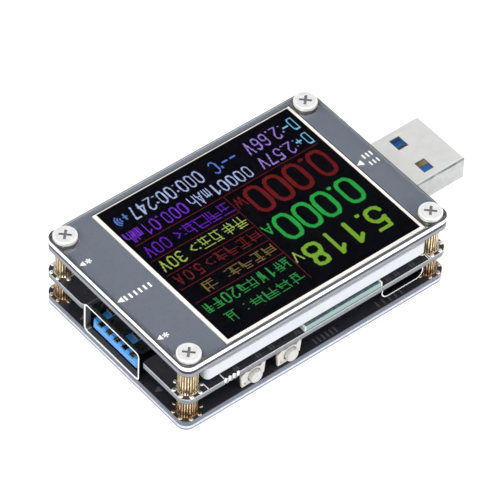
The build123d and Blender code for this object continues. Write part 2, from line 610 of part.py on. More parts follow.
for switch_name, switch_x in (("menu", MENU_SWITCH_X), ("select", SELECT_SWITCH_X)):
    with BuildPart() as switch_housing:
        with BuildSketch(switch_plane(switch_x, SWITCH_FRONT_Y + SWITCH_PLATE)):
            with Locations((0, BUTTON_DROP)):
                Rectangle(SWITCH_WIDTH, SWITCH_HEIGHT)
        extrude(amount=SWITCH_PLATE - SWITCH_DEPTH)
        with BuildSketch(switch_plane(switch_x, SWITCH_FRONT_Y + SWITCH_PLATE)):
            Rectangle(FLANGE_WIDTH + 2 * FLANGE_GAP, FLANGE_HEIGHT + 2 * FLANGE_GAP)
            Circle(BUTTON_BORE_RADIUS)
        extrude(amount=-pocket_depth, mode=Mode.SUBTRACT)
    save(switch_housing, f"{switch_name}_switch_housing")

    with BuildPart() as switch_plate:
        with BuildSketch(switch_plane(switch_x, SWITCH_FRONT_Y)):
            Circle(PLATE_DISC_RADIUS)
            with BuildLine():
                Polyline((-0.3, -1.5), (-2.45, -1.5), (-2.64, 1.04), (-1.75, 1.7), (0, 1.0), close=True)
            make_face()
            with BuildLine():
                Polyline((0.6, -1.4), (2.0, -0.7), (2.25, 1.85), (1.65, 1.95), (1.3, 1.3), (0, 1.0), close=True)
            make_face()
            with Locations(EAR_HOLE_SPOT):
                Circle(EAR_HOLE_RADIUS, mode=Mode.SUBTRACT)
            Circle(BUTTON_BORE_RADIUS, mode=Mode.SUBTRACT)
        extrude(amount=-SWITCH_PLATE)
    save(switch_plate, f"{switch_name}_switch_plate")

    with BuildPart() as switch_button:
        with BuildSketch(switch_plane(switch_x, button_front_y)):
            Circle(BUTTON_RADIUS)
        extrude(amount=button_front_y - flange_rear_y)
        fillet(switch_button.faces().sort_by(Axis.Y)[0].edges(), 0.2)
        with BuildSketch(switch_plane(switch_x, flange_front_y)):
            Rectangle(FLANGE_WIDTH, FLANGE_HEIGHT)
        extrude(amount=-FLANGE_THICKNESS)
    save(switch_button, f"{switch_name}_button")

    with BuildPart() as switch_dome:
        with BuildSketch(switch_plane(switch_x, dome_y)):
            Circle(DOME_RADIUS)
        extrude(amount=-DOME_THICKNESS)
    save(switch_dome, f"{switch_name}_switch_dome")

# ---------------------------------------------------------------- chips on the main board
LEAD_WIDTH = 0.22
LEAD_HEIGHT = 0.12


def board_top(x, y):
    """Plane on the main board's upper face."""
    return Plane(origin=(x, y, MAIN_BOARD_TOP))


def board_under(x, y):
    """Plane on the main board's lower face, with its normal pointing down."""
    return Plane(origin=(x, y, MAIN_BOARD_Z), x_dir=(1, 0, 0), z_dir=(0, 0, -1))


with BuildPart() as microcontroller:
    with BuildSketch(board_top(-7.4, 9.6).offset(LEAD_HEIGHT)):
        Rectangle(7.0, 7.0)
    extrude(amount=1.0)
    chamfer(microcontroller.faces().sort_by(Axis.Z)[-1].edges(), 0.15)
    with BuildSketch(board_top(-7.4, 9.6)):
        for turn in (0, 90):
            with Locations(Location((0, 0), turn)):
                with GridLocations(0.5, 8.0, 12, 2):
                    Rectangle(LEAD_WIDTH, 1.0)
        Rectangle(7.0, 7.0)
    extrude(amount=LEAD_HEIGHT)
save(microcontroller, "microcontroller")

with BuildPart() as flash_memory:
    with BuildSketch(board_top(-7.6, -10.4).offset(LEAD_HEIGHT)):
        Rectangle(4.9, 3.9)
    extrude(amount=1.1)
    with BuildSketch(board_top(-7.6, -10.4)):
        Rectangle(4.9, 3.9)
        with GridLocations(1.27, 4.9, 4, 2):
            Rectangle(0.42, 1.1)
    extrude(amount=LEAD_HEIGHT)
save(flash_memory, "flash_memory")

with BuildPart() as crystal:
    with BuildSketch(board_top(-6.2, 2.9)):
        Rectangle(3.2, 2.5)
    extrude(amount=0.75)
    fillet(crystal.edges().filter_by(Axis.Z), 0.3)
save(crystal, "crystal")

with BuildPart() as current_shunt:
    with BuildSketch(board_under(4.0, 5.0)):
        Rectangle(6.4, 3.2)
    extrude(amount=0.7)
save(current_shunt, "current_shunt")

with BuildPart() as power_inductor:
    with BuildSketch(board_under(11.5, 7.5)):
        Rectangle(5.0, 5.0)
    extrude(amount=2.6)
    chamfer(power_inductor.edges().filter_by(Axis.Z), 0.8)
save(power_inductor, "power_inductor")

with BuildPart() as voltage_regulator:
    with BuildSketch(board_under(16.5, 10.5).offset(LEAD_HEIGHT)):
        Rectangle(2.9, 1.6)
    extrude(amount=1.0)
    with BuildSketch(board_under(16.5, 10.5)):
        Rectangle(2.9, 1.6)
        with GridLocations(0.95, 2.1, 3, 2):
            Rectangle(0.4, 0.7)
    extrude(amount=LEAD_HEIGHT)
save(voltage_regulator, "voltage_regulator")

with BuildPart() as power_transistors:
    for transistor_y in (-5.4, 0.4):
        with BuildSketch(board_under(4.0, transistor_y).offset(LEAD_HEIGHT)):
            Rectangle(4.9, 3.9)
        extrude(amount=1.35)
        with BuildSketch(board_under(4.0, transistor_y)):
            Rectangle(4.9, 3.9)
            with GridLocations(1.27, 4.4, 4, 2):
                Rectangle(0.42, 0.7)
        extrude(amount=LEAD_HEIGHT)
save(power_transistors, "power_transistors")

# Chip parts in 0603 size
CHIP_LENGTH = 1.6
CHIP_WIDTH = 0.85
EDGE_ROW_Y = -15.2
capacitor_spots = ((-15.2, EDGE_ROW_Y), (-8.6, EDGE_ROW_Y), (15.6, EDGE_ROW_Y))
capacitor_spots += ((-1.6, 12.6), (16.2, 10.4), (16.2, 7.4), (-3.2, 15.4), (18.4, -6.0))
resistor_spots = ((-12.0, EDGE_ROW_Y), (-4.6, EDGE_ROW_Y), (18.4, EDGE_ROW_Y))
resistor_spots += ((-20.0, 11.0), (-17.4, 11.0), (-20.0, 13.4), (18.4, -8.2), (18.4, -10.4))

with BuildPart() as ceramic_capacitors:
    for spot_x, spot_y in capacitor_spots:
        with BuildSketch(board_top(spot_x, spot_y)):
            Rectangle(CHIP_LENGTH, CHIP_WIDTH)
        extrude(amount=0.8)
save(ceramic_capacitors, "ceramic_capacitors")

with BuildPart() as chip_resistors:
    for spot_x, spot_y in resistor_spots:
        with BuildSketch(board_top(spot_x, spot_y)):
            Rectangle(CHIP_LENGTH, CHIP_WIDTH)
        extrude(amount=0.45)
save(chip_resistors, "chip_resistors")
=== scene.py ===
"""Looks of the USB power meter: materials, clear covers, lit display, solder and printed marks.

Everything is in the CAD's own frame. Sizes in this file are in millimetres and MM turns them into metres.
"""
import math
import random

import bmesh
import bpy
from mathutils import Matrix, Vector


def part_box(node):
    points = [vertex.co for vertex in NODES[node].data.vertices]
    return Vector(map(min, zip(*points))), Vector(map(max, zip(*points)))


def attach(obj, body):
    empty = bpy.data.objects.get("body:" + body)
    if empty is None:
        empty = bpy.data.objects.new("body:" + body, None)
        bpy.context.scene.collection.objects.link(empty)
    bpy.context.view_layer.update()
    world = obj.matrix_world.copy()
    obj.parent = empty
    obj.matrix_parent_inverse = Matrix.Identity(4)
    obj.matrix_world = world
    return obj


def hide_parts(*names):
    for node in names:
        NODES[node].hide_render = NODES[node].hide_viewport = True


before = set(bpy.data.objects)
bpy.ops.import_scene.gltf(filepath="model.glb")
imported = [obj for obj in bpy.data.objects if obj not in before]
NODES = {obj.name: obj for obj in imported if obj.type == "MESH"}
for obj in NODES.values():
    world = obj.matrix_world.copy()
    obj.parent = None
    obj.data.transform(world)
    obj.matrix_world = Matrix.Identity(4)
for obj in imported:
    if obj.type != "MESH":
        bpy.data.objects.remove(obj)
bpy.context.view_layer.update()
MM = 0.001

# ---------------------------------------------------------------- sizes that the CAD gives
PLATE_LENGTH = 54.0
PLATE_WIDTH = 36.0
PLATE_CORNER = 1.8
HOLE_X = 24.6
HOLE_Y = 15.6
HOLES = [(sx * HOLE_X, sy * HOLE_Y) for sx in (-1, 1) for sy in (-1, 1)]


def level(node, end):
    """Height of a CAD node's underside (end 0) or top (end 1)."""
    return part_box(node)[end][2] / MM


BASE_TOP = level("base_cover", 1)
LOWER_BOARD_TOP = level("lower_board", 1)
MAIN_BOARD_Z = level("main_board", 0)
MAIN_BOARD_TOP = level("main_board", 1)
BEZEL_Z = level("bezel_board", 0)
BEZEL_TOP = level("bezel_board", 1)
COVER_TOP = level("top_cover", 1)
HEAD_TOP = level("top_screws", 1)
PANEL_TOP = level("display_panel", 1)
SOCKET_FRONT_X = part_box("usb_socket_shell")[0][0] / MM
C_FRONT_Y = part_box("usb_c_shell")[0][1] / MM


# ---------------------------------------------------------------- node materials
class Graph:
    """A material's node tree, with short calls for the nodes used here."""

    def __init__(self, name):
        self.material = bpy.data.materials.new(name)
        self.material.use_nodes = True
        self.tree = self.material.node_tree
        self.tree.nodes.clear()
        self.place = None

    def node(self, kind, inputs=(), **props):
        made = self.tree.nodes.new(kind)
        for key, value in props.items():
            setattr(made, key, value)
        for key, value in dict(inputs).items():
            self.put(made.inputs[key], value)
        return made

    def put(self, socket, value):
        if isinstance(value, bpy.types.NodeSocket):
            self.tree.links.new(value, socket)
        elif value is not None:
            socket.default_value = value

    def vector(self, operation, a, b=None):
        return self.node("ShaderNodeVectorMath", {0: a, 1: b}, operation=operation).outputs[0]

    def where(self):
        """Position in the CAD frame, in millimetres."""
        if self.place is None:
            coords = self.node("ShaderNodeTexCoord").outputs["Object"]
            self.place = self.vector("MULTIPLY", coords, (1 / MM, 1 / MM, 1 / MM))
        return self.place

    def axis(self, index):
        return self.node("ShaderNodeSeparateXYZ", {0: self.where()}).outputs[index]

    def reach(self):
        """Distance from the axis of the nearest corner's screw."""
        offset = self.vector("ABSOLUTE", self.where())
        offset = self.vector("SUBTRACT", offset, (HOLE_X, HOLE_Y, 0.0))
        offset = self.vector("MULTIPLY", offset, (1.0, 1.0, 0.0))
        return self.node("ShaderNodeVectorMath", {0: offset}, operation="LENGTH").outputs["Value"]

    def facing(self, index):
        """One component of the surface's own normal."""
        normal = self.node("ShaderNodeNewGeometry").outputs["Normal"]
        return self.node("ShaderNodeSeparateXYZ", {0: normal}).outputs[index]

    def stretched(self, factors):
        return self.vector("MULTIPLY", self.where(), factors)

    def noise(self, scale, detail=3.0, roughness=0.5, vector=None):
        """Noise with about scale features to the millimetre."""
        inputs = {"Scale": scale, "Detail": detail, "Roughness": roughness}
        inputs["Vector"] = vector or self.where()
        return self.node("ShaderNodeTexNoise", inputs).outputs["Fac"]

    def cells(self, scale, vector):
        made = self.node("ShaderNodeTexVoronoi", {"Vector": vector, "Scale": scale})
        return made.outputs["Distance"]

    def math(self, operation, a, b=None):
        return self.node("ShaderNodeMath", {0: a, 1: b}, operation=operation).outputs[0]

    def span(self, value, low, high, to_low=0.0, to_high=1.0):
        inputs = {"From Min": low, "From Max": high, "To Min": to_low, "To Max": to_high}
        inputs["Value"] = value
        return self.node("ShaderNodeMapRange", inputs).outputs[0]

    def between(self, value, low, high, soft):
        """One between low and high, and zero outside them."""
        rise = self.span(value, low - soft, low + soft)
        return self.math("MULTIPLY", rise, self.span(value, high + soft, high - soft))

    def mix(self, share, a, b):
        made = self.node("ShaderNodeMix", data_type="RGBA")
        self.put(made.inputs[0], share)
        self.put(made.inputs[6], rgba(a))
        self.put(made.inputs[7], rgba(b))
        return made.outputs[2]

    def bump(self, height, distance, strength=1.0):
        """Relief of a height field; distance is its depth in millimetres."""
        return self.node(
            "ShaderNodeBump", {"Height": height, "Distance": distance * MM, "Strength": strength}
        ).outputs[0]

    def surface(self, **inputs):
        """Principled shader; inputs are named with underscores for spaces."""
        named = {key.replace("_", " "): rgba(value) for key, value in inputs.items()}
        return self.node("ShaderNodeBsdfPrincipled", named)

    def done(self, shader):
        out = self.node("ShaderNodeOutputMaterial")
        self.tree.links.new(shader.outputs[0], out.inputs["Surface"])
        return self.material


def rgba(value):
    """A three-part colour with its fourth part added."""
    if isinstance(value, (tuple, list)) and len(value) == 3:
        return (*value, 1.0)
    return value


def srgb(red, green, blue):
    """Linear colour of an 8-bit screen colour."""
    return tuple(
        ((c / 255 + 0.055) / 1.055) ** 2.4 if c > 10 else c / 3294.6
        for c in (red, green, blue)
    )


def shade(color, factor):
    return tuple(min(1.0, c * factor) for c in color)


def moulded(name, color, roughness, spread=0.08, grain=3.0, relief=0.004, coat=0.0):
    """Moulded plastic or rubber: mottled colour, uneven gloss and a fine grain."""
    g = Graph(name)
    cloud = g.noise(0.45, 4.0)
    fine = g.noise(grain * 4, 2.0)
    tone = g.mix(g.span(cloud, 0.3, 0.7), shade(color, 1 - spread), shade(color, 1 + spread * 0.5))
    tone = g.mix(g.span(fine, 0.45, 0.75, 0.0, 0.35), tone, shade(color, 1 - 1.6 * spread))
    scuffs = g.span(g.noise(1.2, 5.0, 0.65), 0.3, 0.7, roughness - 0.07, roughness + 0.08)
    shader = g.surface(
        Base_Color=tone,
        Roughness=scuffs,
        Normal=g.bump(g.noise(grain * 5, 3.0), relief, 0.6),
    )
    if coat:
        shader.inputs["Coat Weight"].default_value = coat
        shader.inputs["Coat Roughness"].default_value = 0.12
    return g.done(shader)


def metal(name, color, roughness, brush=None, tint=None, spread=0.12, relief=0.002):
    """Plated metal with fine scratches; brush stretches them along one axis."""
    g = Graph(name)
    lines = g.noise(1.0, 4.0, 0.6, g.stretched(brush or (5.0, 5.0, 5.0)))
    cloud = g.noise(0.6, 3.0)
    tone = g.mix(g.span(cloud, 0.3, 0.7), shade(color, 1 - spread), shade(color, 1 + spread * 0.4))
    if tint:
        tone = g.mix(g.span(g.noise(1.7, 4.0, 0.6), 0.52, 0.75, 0.0, 0.6), tone, tint)
    shader = g.surface(
        Base_Color=tone,
        Metallic=1.0,
        Roughness=g.span(lines, 0.25, 0.75, roughness - 0.06, roughness + 0.09),
        Normal=g.bump(lines, relief, 0.5),
    )
    return g.done(shader)


def board(name, top, side, fibre, bands, gloss=0.35, weave=0.02):
    """Circuit board: solder mask over faint tracks on the faces, layered glass cloth at the edge.

    bands are (low, high, colour) lines that run round the edge.
    """
    g = Graph(name)
    tracks = g.span(g.cells(0.9, g.stretched((1.0, 1.0, 0.01))), 0.30, 0.36)
    cloth = g.noise(5.0, 3.0, 0.6)
    mask = g.mix(g.span(cloth, 0.35, 0.7, 0.0, 0.5), top, shade(top, 1.16))
    mask = g.mix(g.math("MULTIPLY", tracks, 0.22), mask, shade(top, 1.3))
    plies = g.noise(1.0, 3.0, 0.6, g.stretched((1.2, 1.2, 9.0)))
    edge = g.mix(g.span(plies, 0.3, 0.7), side, fibre)
    for low, high, color in bands:
        edge = g.mix(g.between(g.axis(2), low, high, 0.04), edge, color)
    flat = g.span(g.math("ABSOLUTE", g.facing(2)), 0.5, 0.6)
    relief = g.math("ADD", g.math("MULTIPLY", tracks, 0.6), g.math("MULTIPLY", cloth, 0.4))
    shader = g.surface(
        Base_Color=g.mix(flat, edge, mask),
        Roughness=g.span(g.noise(0.8, 4.0), 0.3, 0.7, gloss - 0.06, gloss + 0.1),
        Normal=g.bump(relief, weave, 0.5),
    )
    return g.done(shader)


def receptacle(name, axis, front, rim, body):
    """Plated shell of a socket: its cut front edge shows the bright plating, and its walls are painted dark as
    painted shade and a painted reflection of the dark boards around them.
    """
    g = Graph(name)
    lines = g.noise(1.0, 4.0, 0.6, g.stretched((0.5, 6.0, 6.0)))
    edge = g.span(g.axis(axis), front + 0.09, front + 0.04)
    # the walls' dark body colour is painted shade and reflection on the same plating as the rim
    wall = g.mix(g.span(lines, 0.3, 0.7), shade(body, 0.7), shade(body, 1.3))
    shader = g.surface(
        Base_Color=g.mix(edge, wall, rim),
        Metallic=1.0,
        Roughness=g.span(lines, 0.25, 0.75, 0.2, 0.36),
        Normal=g.bump(lines, 0.003, 0.5),
    )
    return g.done(shader)


def clear_acrylic(name):
    """Clear sheet that lets lamps through, with a few hairline marks."""
    g = Graph(name)
    marks = g.noise(0.9, 6.0, 0.7, g.stretched((1.0, 0.35, 1.0)))
    glass = g.surface(
        Base_Color=(1.0, 1.0, 1.0),
        Roughness=g.span(marks, 0.55, 0.8, 0.0, 0.03),
        IOR=1.49,
        Transmission_Weight=1.0,
    )
    lamp = g.node("ShaderNodeBsdfTransparent", {0: (0.96, 0.97, 0.98, 1.0)})
    share = g.node("ShaderNodeLightPath").outputs["Is Shadow Ray"]
    both = g.node("ShaderNodeMixShader", {0: share, 1: glass.outputs[0], 2: lamp.outputs[0]})
    return g.done(both)


def cut_acrylic(name, low, high, bright, dim, line, painted_glow, lower_line):
    """Laser-cut edge of a clear sheet: a whitish cut face with a painted glow (emission) for the light that the
    sheet pipes to it, and painted shade lines along its top and bottom.
    """
    g = Graph(name)
    height = g.axis(2)
    ripple = g.noise(1.0, 3.0, 0.6, g.stretched((2.2, 2.2, 0.6)))
    tone = g.mix(g.span(ripple, 0.35, 0.7), bright, dim)
    # dark lines near the top and bottom of the cut face are painted shade, and they get no glow
    upper = g.span(height, high - 0.14, high - 0.08)
    lower = g.span(height, low + lower_line + 0.04, low + lower_line - 0.04)
    painted_shade_lines = g.math("MAXIMUM", upper, lower)
    tone = g.mix(painted_shade_lines, tone, line)
    shader = g.surface(
        Base_Color=tone,
        Roughness=g.span(ripple, 0.3, 0.7, 0.16, 0.3),
        Emission_Color=g.mix(painted_shade_lines, tone, (0.0, 0.0, 0.0)),
        Emission_Strength=painted_glow,
        Normal=g.bump(ripple, 0.01, 0.5),
    )
    return g.done(shader)


# ---------------------------------------------------------------- mesh helpers
def piece(name, bm, materials, smooth=None, replaces=()):
    """Turns a bmesh in millimetres into a piece that rides on the body."""
    bmesh.ops.recalc_face_normals(bm, faces=bm.faces)
    bmesh.ops.scale(bm, vec=(MM, MM, MM), verts=bm.verts)
    data = bpy.data.meshes.new(name)
    bm.to_mesh(data)
    bm.free()
    for material in materials:
        data.materials.append(material)
    made = bpy.data.objects.new(name, data)
    bpy.context.scene.collection.objects.link(made)
    if smooth is not None:
        data.shade_smooth()
        data.set_sharp_from_angle(angle=math.radians(smooth))
    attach(made, "body")
    if replaces:
        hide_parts(*replaces)
    return made


def loop(bm, points, z):
    return [bm.verts.new((x, y, z)) for x, y in points]


def band(bm, lower, upper, index=0):
    """Faces between two loops of the same length."""
    count = len(lower)
    for i in range(count):
        j = (i + 1) % count
        face = bm.faces.new((lower[i], lower[j], upper[j], upper[i]))
        face.material_index = index


def prism(bm, points, z0, z1, index=0):
    """Closed solid from an outline."""
    lower, upper = loop(bm, points, z0), loop(bm, points, z1)
    band(bm, lower, upper, index)
    for ends in (lower, upper):
        bm.faces.new(ends).material_index = index


def circle(cx, cy, radius, count=32, start=0.0, end=2 * math.pi):
    """Points round a circle, or along an arc with its end point."""
    whole = abs(end - start - 2 * math.pi) < 1e-9
    steps = count if whole else count - 1
    turns = [start + (end - start) * i / steps for i in range(count)]
    return [(cx + radius * math.cos(t), cy + radius * math.sin(t)) for t in turns]


def rounded(cx, cy, length, width, radius, count=8):
    """Outline of a rectangle with round corners."""
    points = []
    for quarter, (sx, sy) in enumerate(((1, 1), (-1, 1), (-1, -1), (1, -1))):
        mid = (cx + sx * (length / 2 - radius), cy + sy * (width / 2 - radius))
        start = quarter * math.pi / 2
        points += circle(*mid, radius, count, start, start + math.pi / 2)
    return points


def box(bm, x0, x1, y0, y1, z0, z1):
    prism(bm, [(x0, y0), (x1, y0), (x1, y1), (x0, y1)], z0, z1)


def dome(bm, cx, cy, z, radius, height, count=14):
    """Low round blob of solder with a flat closed bottom."""
    rings = [(1.0, 0.0), (0.97, 0.45), (0.8, 0.8), (0.45, 1.0)]
    loops = [loop(bm, circle(cx, cy, radius * r, count), z + height * h) for r, h in rings]
    for lower, upper in zip(loops, loops[1:]):
        band(bm, lower, upper)
    bm.faces.new(loops[0])
    bm.faces.new(loops[-1])


def ring(bm, cx, cy, inner, outer, z0, z1, count, lobes=0, lobe=0.0):
    """Flat closed ring; lobes make its outer edge wavy."""
    turns = [2 * math.pi * i / count for i in range(count)]
    outside = []
    for t in turns:
        r = outer + lobe * max(0.0, math.cos(lobes * t))
        outside.append((cx + r * math.cos(t), cy + r * math.sin(t)))
    inside = circle(cx, cy, inner, count)
    corners = ((outside, z0), (outside, z1), (inside, z1), (inside, z0))
    rims = [loop(bm, points, z) for points, z in corners]
    for a, b in zip(rims, rims[1:] + rims[:1]):
        band(bm, a, b)


def bar(bm, x0, y0, x1, y1, width, z0, z1, index=0):
    """Flat bar between two points."""
    along = Vector((x1 - x0, y1 - y0)).normalized() * (width / 2)
    side = Vector((-along.y, along.x))
    a, b = Vector((x0, y0)), Vector((x1, y1))
    prism(bm, [a - side, b - side, b + side, a + side], z0, z1, index)


def drilled_sheet(name, profile, hole_profile, clear, cut, replaces):
    """Clear sheet with its four screw holes.

    profile is (inset, z) up the edge, and hole_profile is (radius, z) up each hole.
    """
    bm = bmesh.new()
    edge_loops = [
        loop(bm, rounded(0, 0, PLATE_LENGTH - 2 * d, PLATE_WIDTH - 2 * d, PLATE_CORNER - d), z)
        for d, z in profile
    ]
    for lower, upper in zip(edge_loops, edge_loops[1:]):
        band(bm, lower, upper, 1)
    bottoms, tops = [edge_loops[0]], [edge_loops[-1]]
    for hx, hy in HOLES:
        walls = [loop(bm, circle(hx, hy, r, 32), z) for r, z in hole_profile]
        for lower, upper in zip(walls, walls[1:]):
            band(bm, lower, upper, 0)
        bottoms.append(walls[0])
        tops.append(walls[-1])
    for loops in (bottoms, tops):
        edges = []
        for verts in loops:
            edges += [bm.edges.get((a, b)) for a, b in zip(verts, verts[1:] + verts[:1])]
        bmesh.ops.triangle_fill(bm, edges=edges, use_beauty=True)
    return piece(name, bm, [clear, cut], replaces=replaces)


# ---------------------------------------------------------------- materials of the CAD nodes
# The bezel board's mask is black; its slate grey here is a painted reflection of the bright surroundings on its
# gloss and on the clear cover.
PAINTED_SHEEN_SLATE = (0.094, 0.108, 0.134)
INK = (0.016, 0.016, 0.021)
TIN = (0.86, 0.86, 0.85)
GOLD = (0.80, 0.58, 0.28)
NICKEL = (0.85, 0.86, 0.86)
finishes = {
    "bezel_board": board(
        "black_mask_painted_sheen",
        PAINTED_SHEEN_SLATE,
        srgb(104, 110, 122),
        srgb(140, 144, 156),
        [(BEZEL_TOP - 0.5, BEZEL_TOP, srgb(10, 10, 13)),
         (BEZEL_Z, BEZEL_Z + 0.16, srgb(84, 86, 94))],
        0.42,
        0.004,
    ),
    "main_board": board(
        "black_mask",
        INK,
        srgb(98, 102, 108),
        srgb(128, 134, 140),
        # pale band along the main board's top edge: a painted highlight
        [(MAIN_BOARD_TOP - 0.14, MAIN_BOARD_TOP, srgb(196, 200, 200)),
         (MAIN_BOARD_Z + 0.34, MAIN_BOARD_Z + 0.5, srgb(84, 88, 96)),
         (MAIN_BOARD_Z, MAIN_BOARD_Z + 0.1, srgb(30, 32, 36))],
        0.3,
        0.02,
    ),
    "lower_board": board(
        "black_mask_lower",
        INK,
        srgb(72, 80, 94),
        srgb(96, 104, 118),
        [(LOWER_BOARD_TOP - 0.12, LOWER_BOARD_TOP, srgb(40, 44, 52))],
        0.3,
        0.02,
    ),
    "display_frame": moulded("frame_cream", srgb(226, 220, 212), 0.4, 0.03, 2.0, 0.003),
    "display_backlight": moulded("light_guide_film", srgb(236, 240, 246), 0.2, 0.03, 2.0, 0.002, 0.4),
    "display_pad": moulded("foam_white", srgb(196, 200, 206), 0.85, 0.04, 5.0, 0.03),
    "display_flex": moulded("flex_amber", (0.32, 0.13, 0.02), 0.3, 0.15, 2.0, 0.004, 0.3),
    "flex_connector": moulded("connector_cream", srgb(205, 208, 196), 0.5, 0.08, 3.0, 0.006),
    "usb_plug_insulator": moulded("plug_blue", srgb(60, 128, 205), 0.32, 0.1, 3.0, 0.004),
    "usb_c_tongue": moulded("tongue_black", (0.02, 0.02, 0.022), 0.4, 0.2, 3.0, 0.004),
    "menu_switch_housing": moulded("switch_black", (0.02, 0.02, 0.022), 0.45, 0.2, 3.0, 0.006),
    "menu_switch_plate": moulded("switch_nylon", srgb(196, 191, 184), 0.5, 0.08, 3.0, 0.008),
    "menu_button": moulded("button_grey", srgb(186, 184, 182), 0.4, 0.06, 3.0, 0.005),
    "microcontroller": moulded("package_black", (0.02, 0.02, 0.021), 0.5, 0.2, 5.0, 0.01),
    "power_inductor": moulded("ferrite_grey", (0.05, 0.05, 0.055), 0.6, 0.25, 6.0, 0.02),
    "ceramic_capacitors": moulded("ceramic_tan", (0.34, 0.24, 0.15), 0.45, 0.15, 6.0, 0.01),
    "chip_resistors": moulded("glaze_black", (0.02, 0.02, 0.024), 0.3, 0.2, 6.0, 0.01),
    "base_screws": metal("screw_plain", (0.80, 0.80, 0.80), 0.28, (3.0, 3.0, 3.0)),
    "usb_plug_contacts": metal("contact_gold", GOLD, 0.2, (0.5, 8.0, 8.0)),
    "usb_socket_shell": receptacle(
        "socket_nickel", 0, SOCKET_FRONT_X, NICKEL, (0.05, 0.052, 0.058)
    ),
    "usb_c_shell": receptacle("usb_c_nickel", 1, C_FRONT_Y, NICKEL, (0.07, 0.072, 0.078)),
    "crystal": metal("crystal_lid", (0.78, 0.78, 0.80), 0.25, (6.0, 0.5, 6.0)),
}
finishes["usb_socket_contacts"] = finishes["usb_plug_contacts"]
finishes["usb_c_contacts"] = finishes["usb_plug_contacts"]
finishes["current_shunt"] = finishes["chip_resistors"]
for node in ("menu_switch_dome", "select_switch_dome"):
    finishes[node] = finishes["base_screws"]
for part in ("switch_housing", "switch_plate", "button"):
    finishes["select_" + part] = finishes["menu_" + part]
for node in ("flash_memory", "voltage_regulator", "power_transistors"):
    finishes[node] = finishes["microcontroller"]

# Screws from above: bright heads with painted shade in their cross recess
g = Graph("screw_nickel")
painted_recess_shade = g.math(
    "MULTIPLY", g.span(g.reach(), 1.3, 1.2), g.span(g.axis(2), HEAD_TOP - 0.03, HEAD_TOP - 0.1)
)
swirl = g.noise(1.6, 3.0, 0.5)
bright = g.mix(g.span(swirl, 0.3, 0.7), (0.80, 0.80, 0.80), (0.90, 0.90, 0.89))
finishes["top_screws"] = g.done(
    g.surface(
        Base_Color=g.mix(painted_recess_shade, bright, (0.26, 0.26, 0.27)),
        Metallic=0.55,
        Roughness=g.span(swirl, 0.25, 0.75, 0.3, 0.38),
        Normal=g.bump(swirl, 0.001, 0.4),
    )
)


def knurled(name, color, streak, groove):
    """Knurled brass: bright crests, brown grooves and uneven streaks along the post."""
    g = Graph(name)
    streaks = g.noise(1.0, 4.0, 0.6, g.stretched((5.0, 5.0, 0.9)))
    tone = g.mix(g.span(streaks, 0.42, 0.6), color, streak)
    tone = g.mix(g.span(g.reach(), 1.63, 1.56), tone, groove)
    return g.done(
        g.surface(
            Base_Color=tone,
            Metallic=1.0,
            Roughness=g.span(streaks, 0.25, 0.75, 0.16, 0.34),
            Normal=g.bump(streaks, 0.004, 0.5),
        )
    )


finishes["upper_standoffs"] = knurled(
    "brass_knurled", (0.86, 0.76, 0.56), (0.50, 0.37, 0.20), (0.16, 0.09, 0.04)
)
# the lower standoffs are the same brass in a darker copy: painted shade of the gap between the boards
finishes["lower_standoffs"] = knurled(
    "brass_painted_shade", (0.72, 0.56, 0.36), (0.34, 0.21, 0.10), (0.10, 0.05, 0.025)
)

# Plug shell: satin plate; its flat faces are painted paler than its sides as painted light and shade, and
# painted shade darkens its bent corners
g = Graph("plug_satin")
brushed = g.noise(1.0, 4.0, 0.6, g.stretched((0.35, 9.0, 9.0)))
tilt = g.math("ABSOLUTE", g.facing(2))
tone = g.mix(g.span(tilt, 0.90, 0.97), (0.40, 0.41, 0.41), (0.90, 0.905, 0.89))
tone = g.mix(g.math("MULTIPLY", g.between(tilt, 0.2, 0.93, 0.05), 0.85), tone, (0.05, 0.05, 0.052))
tone = g.mix(g.span(g.noise(0.6, 3.0), 0.35, 0.7, 0.0, 0.25), tone, (0.70, 0.70, 0.69))
finishes["usb_plug_shell"] = g.done(
    g.surface(
        Base_Color=tone,
        Metallic=0.8,
        Roughness=g.span(brushed, 0.25, 0.75, 0.28, 0.43),
        Normal=g.bump(brushed, 0.002, 0.5),
    )
)

# Tongue of the type A socket: pale blue at its front, with painted shade darkening it towards the block deep in
# the socket
g = Graph("tongue_blue")
depth = g.span(g.axis(0), SOCKET_FRONT_X + 5.0, SOCKET_FRONT_X + 10.5)
cloud = g.noise(1.5, 3.0)
front = g.mix(g.span(cloud, 0.3, 0.7), srgb(56, 132, 205), srgb(74, 152, 222))
finishes["usb_socket_tongue"] = g.done(
    g.surface(
        Base_Color=g.mix(depth, front, srgb(14, 30, 60)),
        Roughness=g.span(cloud, 0.3, 0.7, 0.24, 0.36),
        Normal=g.bump(g.noise(15.0, 3.0), 0.004, 0.6),
    )
)

# Display glass: black and glossy, with the faint grid of its pixels
g = Graph("display_black")
CELL_PITCH = 15.7
waves = [
    g.math("ABSOLUTE", g.math("SINE", g.math("MULTIPLY", g.axis(i), CELL_PITCH))) for i in (0, 1)
]
cell_lines = g.span(g.math("MAXIMUM", *waves), 0.9, 1.0)
finishes["display_panel"] = g.done(
    g.surface(
        Base_Color=g.mix(cell_lines, (0.0012, 0.0012, 0.002), (0.003, 0.003, 0.005)),
        Roughness=g.span(g.noise(0.5, 3.0), 0.3, 0.7, 0.1, 0.2),
        Specular_IOR_Level=0.12,
    )
)

